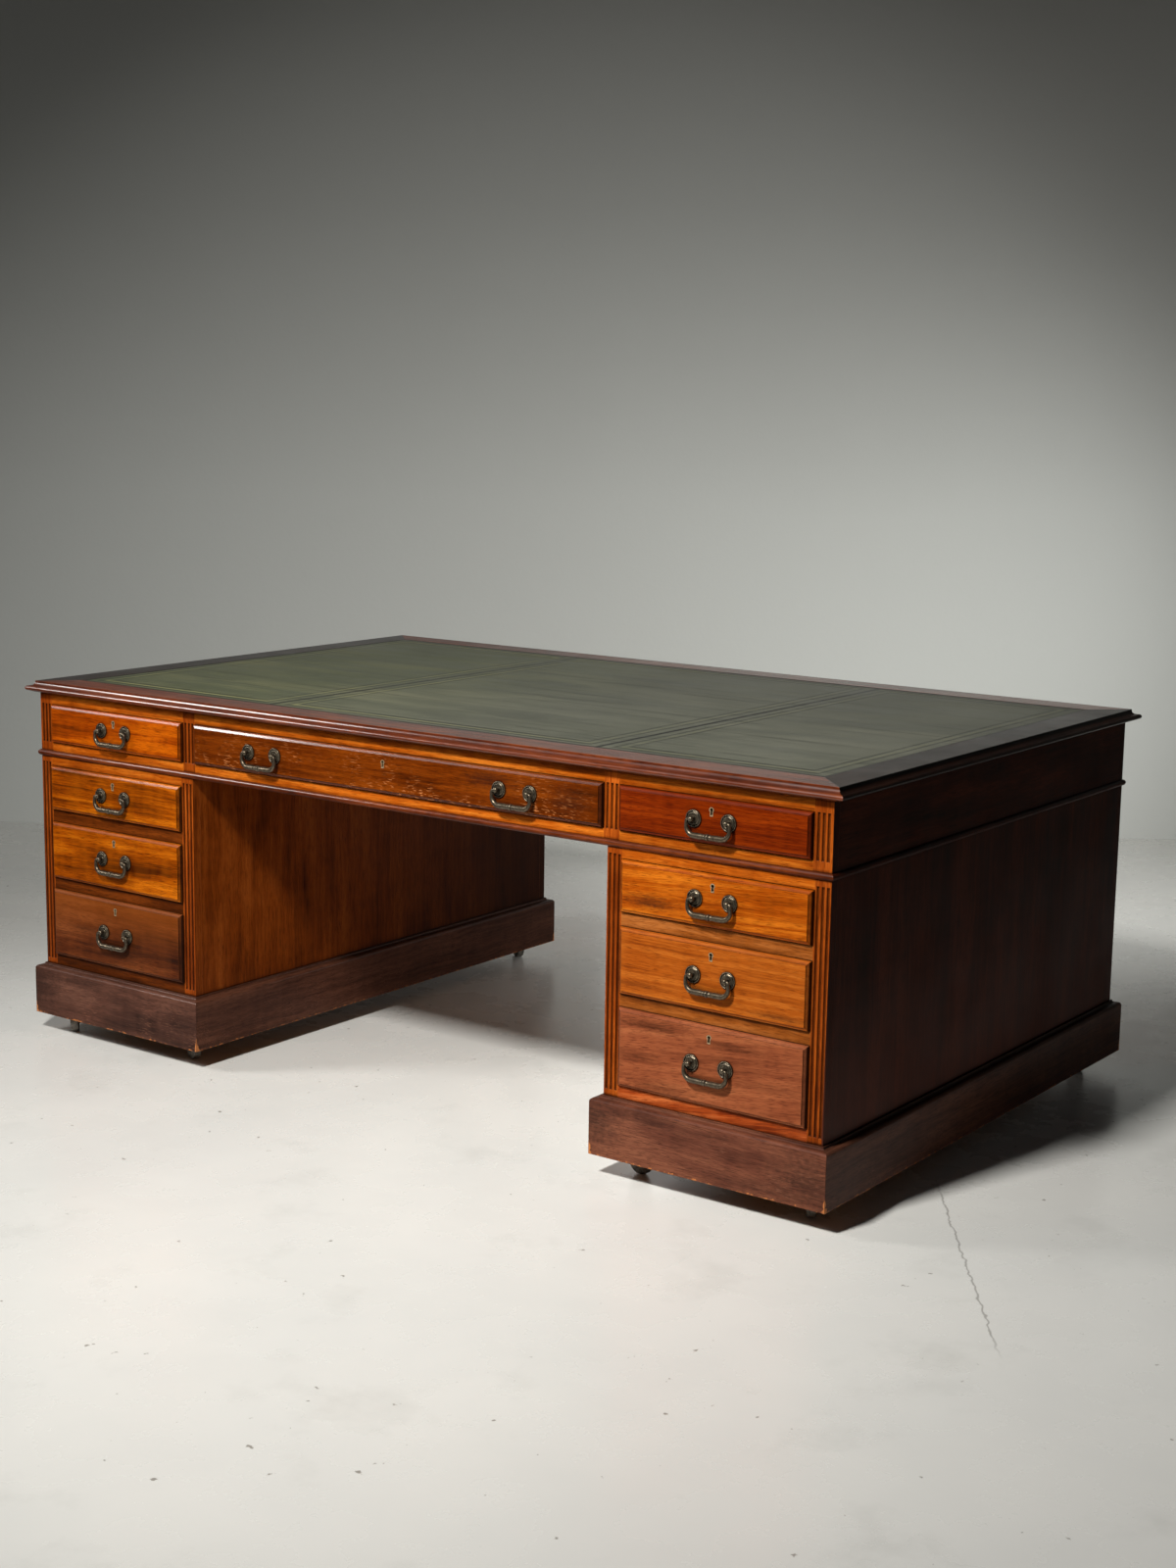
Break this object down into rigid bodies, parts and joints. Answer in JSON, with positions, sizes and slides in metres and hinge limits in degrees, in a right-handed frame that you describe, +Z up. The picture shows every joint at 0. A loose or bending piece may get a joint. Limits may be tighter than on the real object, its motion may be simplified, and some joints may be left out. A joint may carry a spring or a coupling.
{
  "type": "partners desk",
  "caption": "Partners desk with a leather top, fluted pilasters, moulded drawers with swan-neck bails, panelled cupboards and casters.",
  "frame": {"origin": "on the floor, under the middle of the top", "axes": "+Z up, X along the length, the side with drawers in the pedestals faces -Y"},
  "size_m": [2.03, 1.2584, 0.78],
  "materials": {
    "mahogany": "french polished",
    "mahogany_plinth": "worn polish",
    "secondary_wood": "oiled, unpolished",
    "leather": "worn skiver",
    "brass": "dark antique patina",
    "caster_iron": "aged",
    "caster_wheel": "worn"
  },
  "bodies": {
    "desk": {"top_border": "mahogany", "top_panel": "secondary_wood", "leather_panels": "leather", "frieze_case": "mahogany", "frieze_pilasters": "mahogany", "frieze_framing": "secondary_wood", "waist_moulding": "mahogany", "pedestal_rails": "mahogany", "pedestal_pilasters": "mahogany", "cupboard_shelves": "secondary_wood", "left_case": "mahogany", "left_plinth": "mahogany_plinth", "right_case": "mahogany", "right_plinth": "mahogany_plinth", "door_hinge_halves": "brass", "caster_plates": "caster_iron"},
    "frieze_front_left_drawer": {"frieze_front_left_drawer": "mahogany"},
    "frieze_front_left_bail": {"frieze_front_left_bail": "brass"},
    "frieze_front_centre_drawer": {"frieze_front_centre_drawer": "mahogany"},
    "frieze_front_centre_bail_a": {"frieze_front_centre_bail_a": "brass"},
    "frieze_front_centre_bail_b": {"frieze_front_centre_bail_b": "brass"},
    "frieze_front_right_drawer": {"frieze_front_right_drawer": "mahogany"},
    "frieze_front_right_bail": {"frieze_front_right_bail": "brass"},
    "frieze_back_left_drawer": {"frieze_back_left_drawer": "mahogany"},
    "frieze_back_left_bail": {"frieze_back_left_bail": "brass"},
    "frieze_back_centre_drawer": {"frieze_back_centre_drawer": "mahogany"},
    "frieze_back_centre_bail_a": {"frieze_back_centre_bail_a": "brass"},
    "frieze_back_centre_bail_b": {"frieze_back_centre_bail_b": "brass"},
    "frieze_back_right_drawer": {"frieze_back_right_drawer": "mahogany"},
    "frieze_back_right_bail": {"frieze_back_right_bail": "brass"},
    "left_upper_drawer": {"left_upper_drawer": "mahogany"},
    "left_upper_bail": {"left_upper_bail": "brass"},
    "left_middle_drawer": {"left_middle_drawer": "mahogany"},
    "left_middle_bail": {"left_middle_bail": "brass"},
    "left_lower_drawer": {"left_lower_drawer": "mahogany"},
    "left_lower_bail": {"left_lower_bail": "brass"},
    "right_upper_drawer": {"right_upper_drawer": "mahogany"},
    "right_upper_bail": {"right_upper_bail": "brass"},
    "right_middle_drawer": {"right_middle_drawer": "mahogany"},
    "right_middle_bail": {"right_middle_bail": "brass"},
    "right_lower_drawer": {"right_lower_drawer": "mahogany"},
    "right_lower_bail": {"right_lower_bail": "brass"},
    "left_cupboard_door": {"left_cupboard_door": "mahogany"},
    "right_cupboard_door": {"right_cupboard_door": "mahogany"},
    "left_front_outer_horn": {"left_front_outer_horn": "caster_iron"},
    "left_front_outer_wheel": {"left_front_outer_wheel": "caster_wheel"},
    "left_front_inner_horn": {"left_front_inner_horn": "caster_iron"},
    "left_front_inner_wheel": {"left_front_inner_wheel": "caster_wheel"},
    "left_back_outer_horn": {"left_back_outer_horn": "caster_iron"},
    "left_back_outer_wheel": {"left_back_outer_wheel": "caster_wheel"},
    "left_back_inner_horn": {"left_back_inner_horn": "caster_iron"},
    "left_back_inner_wheel": {"left_back_inner_wheel": "caster_wheel"},
    "right_front_outer_horn": {"right_front_outer_horn": "caster_iron"},
    "right_front_outer_wheel": {"right_front_outer_wheel": "caster_wheel"},
    "right_front_inner_horn": {"right_front_inner_horn": "caster_iron"},
    "right_front_inner_wheel": {"right_front_inner_wheel": "caster_wheel"},
    "right_back_outer_horn": {"right_back_outer_horn": "caster_iron"},
    "right_back_outer_wheel": {"right_back_outer_wheel": "caster_wheel"},
    "right_back_inner_horn": {"right_back_inner_horn": "caster_iron"},
    "right_back_inner_wheel": {"right_back_inner_wheel": "caster_wheel"}
  },
  "joints": [
    {"name": "frieze_front_left_drawer_slide", "type": "slide", "parent": "desk", "child": "frieze_front_left_drawer", "axis": [0, -1, 0], "range_m": [0, 0.42]},
    {"name": "frieze_front_left_bail_swing", "type": "hinge", "parent": "frieze_front_left_drawer", "child": "frieze_front_left_bail", "pos_m": [-0.751, -0.623, 0.693], "axis": [-1, 0, 0], "range_deg": [-8, 95]},
    {"name": "frieze_front_centre_drawer_slide", "type": "slide", "parent": "desk", "child": "frieze_front_centre_drawer", "axis": [0, -1, 0], "range_m": [0, 0.42]},
    {"name": "frieze_front_centre_bail_a_swing", "type": "hinge", "parent": "frieze_front_centre_drawer", "child": "frieze_front_centre_bail_a", "pos_m": [-0.32, -0.623, 0.693], "axis": [-1, 0, 0], "range_deg": [-8, 95]},
    {"name": "frieze_front_centre_bail_b_swing", "type": "hinge", "parent": "frieze_front_centre_drawer", "child": "frieze_front_centre_bail_b", "pos_m": [0.32, -0.623, 0.693], "axis": [-1, 0, 0], "range_deg": [-8, 95]},
    {"name": "frieze_front_right_drawer_slide", "type": "slide", "parent": "desk", "child": "frieze_front_right_drawer", "axis": [0, -1, 0], "range_m": [0, 0.42]},
    {"name": "frieze_front_right_bail_swing", "type": "hinge", "parent": "frieze_front_right_drawer", "child": "frieze_front_right_bail", "pos_m": [0.751, -0.623, 0.693], "axis": [-1, 0, 0], "range_deg": [-8, 95]},
    {"name": "frieze_back_left_drawer_slide", "type": "slide", "parent": "desk", "child": "frieze_back_left_drawer", "axis": [0, 1, 0], "range_m": [0, 0.42]},
    {"name": "frieze_back_left_bail_swing", "type": "hinge", "parent": "frieze_back_left_drawer", "child": "frieze_back_left_bail", "pos_m": [-0.751, 0.623, 0.693], "axis": [1, 0, 0], "range_deg": [-8, 95]},
    {"name": "frieze_back_centre_drawer_slide", "type": "slide", "parent": "desk", "child": "frieze_back_centre_drawer", "axis": [0, 1, 0], "range_m": [0, 0.42]},
    {"name": "frieze_back_centre_bail_a_swing", "type": "hinge", "parent": "frieze_back_centre_drawer", "child": "frieze_back_centre_bail_a", "pos_m": [0.32, 0.623, 0.693], "axis": [1, 0, 0], "range_deg": [-8, 95]},
    {"name": "frieze_back_centre_bail_b_swing", "type": "hinge", "parent": "frieze_back_centre_drawer", "child": "frieze_back_centre_bail_b", "pos_m": [-0.32, 0.623, 0.693], "axis": [1, 0, 0], "range_deg": [-8, 95]},
    {"name": "frieze_back_right_drawer_slide", "type": "slide", "parent": "desk", "child": "frieze_back_right_drawer", "axis": [0, 1, 0], "range_m": [0, 0.42]},
    {"name": "frieze_back_right_bail_swing", "type": "hinge", "parent": "frieze_back_right_drawer", "child": "frieze_back_right_bail", "pos_m": [0.751, 0.623, 0.693], "axis": [1, 0, 0], "range_deg": [-8, 95]},
    {"name": "left_upper_drawer_slide", "type": "slide", "parent": "desk", "child": "left_upper_drawer", "axis": [0, -1, 0], "range_m": [0, 0.42]},
    {"name": "left_upper_bail_swing", "type": "hinge", "parent": "left_upper_drawer", "child": "left_upper_bail", "pos_m": [-0.757, -0.623, 0.552], "axis": [-1, 0, 0], "range_deg": [-8, 95]},
    {"name": "left_middle_drawer_slide", "type": "slide", "parent": "desk", "child": "left_middle_drawer", "axis": [0, -1, 0], "range_m": [0, 0.42]},
    {"name": "left_middle_bail_swing", "type": "hinge", "parent": "left_middle_drawer", "child": "left_middle_bail", "pos_m": [-0.757, -0.623, 0.415], "axis": [-1, 0, 0], "range_deg": [-8, 95]},
    {"name": "left_lower_drawer_slide", "type": "slide", "parent": "desk", "child": "left_lower_drawer", "axis": [0, -1, 0], "range_m": [0, 0.42]},
    {"name": "left_lower_bail_swing", "type": "hinge", "parent": "left_lower_drawer", "child": "left_lower_bail", "pos_m": [-0.757, -0.623, 0.254], "axis": [-1, 0, 0], "range_deg": [-8, 95]},
    {"name": "right_upper_drawer_slide", "type": "slide", "parent": "desk", "child": "right_upper_drawer", "axis": [0, -1, 0], "range_m": [0, 0.42]},
    {"name": "right_upper_bail_swing", "type": "hinge", "parent": "right_upper_drawer", "child": "right_upper_bail", "pos_m": [0.757, -0.623, 0.552], "axis": [-1, 0, 0], "range_deg": [-8, 95]},
    {"name": "right_middle_drawer_slide", "type": "slide", "parent": "desk", "child": "right_middle_drawer", "axis": [0, -1, 0], "range_m": [0, 0.42]},
    {"name": "right_middle_bail_swing", "type": "hinge", "parent": "right_middle_drawer", "child": "right_middle_bail", "pos_m": [0.757, -0.623, 0.415], "axis": [-1, 0, 0], "range_deg": [-8, 95]},
    {"name": "right_lower_drawer_slide", "type": "slide", "parent": "desk", "child": "right_lower_drawer", "axis": [0, -1, 0], "range_m": [0, 0.42]},
    {"name": "right_lower_bail_swing", "type": "hinge", "parent": "right_lower_drawer", "child": "right_lower_bail", "pos_m": [0.757, -0.623, 0.254], "axis": [-1, 0, 0], "range_deg": [-8, 95]},
    {"name": "left_cupboard_door_hinge", "type": "hinge", "parent": "desk", "child": "left_cupboard_door", "pos_m": [-0.9544, 0.6072, 0.377], "axis": [0, 0, 1], "range_deg": [0, 105]},
    {"name": "right_cupboard_door_hinge", "type": "hinge", "parent": "desk", "child": "right_cupboard_door", "pos_m": [0.9544, 0.6072, 0.377], "axis": [0, 0, -1], "range_deg": [0, 105]},
    {"name": "left_front_outer_swivel", "type": "hinge", "parent": "desk", "child": "left_front_outer_horn", "pos_m": [-0.947, -0.562, 0.058], "axis": [0, 0, 1], "continuous": true},
    {"name": "left_front_outer_roll", "type": "hinge", "parent": "left_front_outer_horn", "child": "left_front_outer_wheel", "pos_m": [-0.93541, -0.57443, 0.022], "axis": [0.7314, 0.682, 0], "continuous": true},
    {"name": "left_front_inner_swivel", "type": "hinge", "parent": "desk", "child": "left_front_inner_horn", "pos_m": [-0.567, -0.562, 0.058], "axis": [0, 0, 1], "continuous": true},
    {"name": "left_front_inner_roll", "type": "hinge", "parent": "left_front_inner_horn", "child": "left_front_inner_wheel", "pos_m": [-0.58298, -0.55619, 0.022], "axis": [-0.342, -0.9397, 0], "continuous": true},
    {"name": "left_back_outer_swivel", "type": "hinge", "parent": "desk", "child": "left_back_outer_horn", "pos_m": [-0.947, 0.562, 0.058], "axis": [0, 0, 1], "continuous": true},
    {"name": "left_back_outer_roll", "type": "hinge", "parent": "left_back_outer_horn", "child": "left_back_outer_wheel", "pos_m": [-0.9426, 0.57842, 0.022], "axis": [-0.9659, 0.2588, 0], "continuous": true},
    {"name": "left_back_inner_swivel", "type": "hinge", "parent": "desk", "child": "left_back_inner_horn", "pos_m": [-0.567, 0.562, 0.058], "axis": [0, 0, 1], "continuous": true},
    {"name": "left_back_inner_roll", "type": "hinge", "parent": "left_back_inner_horn", "child": "left_back_inner_wheel", "pos_m": [-0.58172, 0.5705, 0.022], "axis": [-0.5, -0.866, 0], "continuous": true},
    {"name": "right_front_outer_swivel", "type": "hinge", "parent": "desk", "child": "right_front_outer_horn", "pos_m": [0.947, -0.562, 0.058], "axis": [0, 0, 1], "continuous": true},
    {"name": "right_front_outer_roll", "type": "hinge", "parent": "right_front_outer_horn", "child": "right_front_outer_wheel", "pos_m": [0.93653, -0.5486, 0.022], "axis": [-0.788, -0.6157, 0], "continuous": true},
    {"name": "right_front_inner_swivel", "type": "hinge", "parent": "desk", "child": "right_front_inner_horn", "pos_m": [0.567, -0.562, 0.058], "axis": [0, 0, 1], "continuous": true},
    {"name": "right_front_inner_roll", "type": "hinge", "parent": "right_front_inner_horn", "child": "right_front_inner_wheel", "pos_m": [0.57793, -0.54898, 0.022], "axis": [-0.766, 0.6428, 0], "continuous": true},
    {"name": "right_back_outer_swivel", "type": "hinge", "parent": "desk", "child": "right_back_outer_horn", "pos_m": [0.947, 0.562, 0.058], "axis": [0, 0, 1], "continuous": true},
    {"name": "right_back_outer_roll", "type": "hinge", "parent": "right_back_outer_horn", "child": "right_back_outer_wheel", "pos_m": [0.93228, 0.5705, 0.022], "axis": [-0.5, -0.866, 0], "continuous": true},
    {"name": "right_back_inner_swivel", "type": "hinge", "parent": "desk", "child": "right_back_inner_horn", "pos_m": [0.567, 0.562, 0.058], "axis": [0, 0, 1], "continuous": true},
    {"name": "right_back_inner_roll", "type": "hinge", "parent": "right_back_inner_horn", "child": "right_back_inner_wheel", "pos_m": [0.5755, 0.57672, 0.022], "axis": [-0.866, 0.5, 0], "continuous": true}
  ]
}
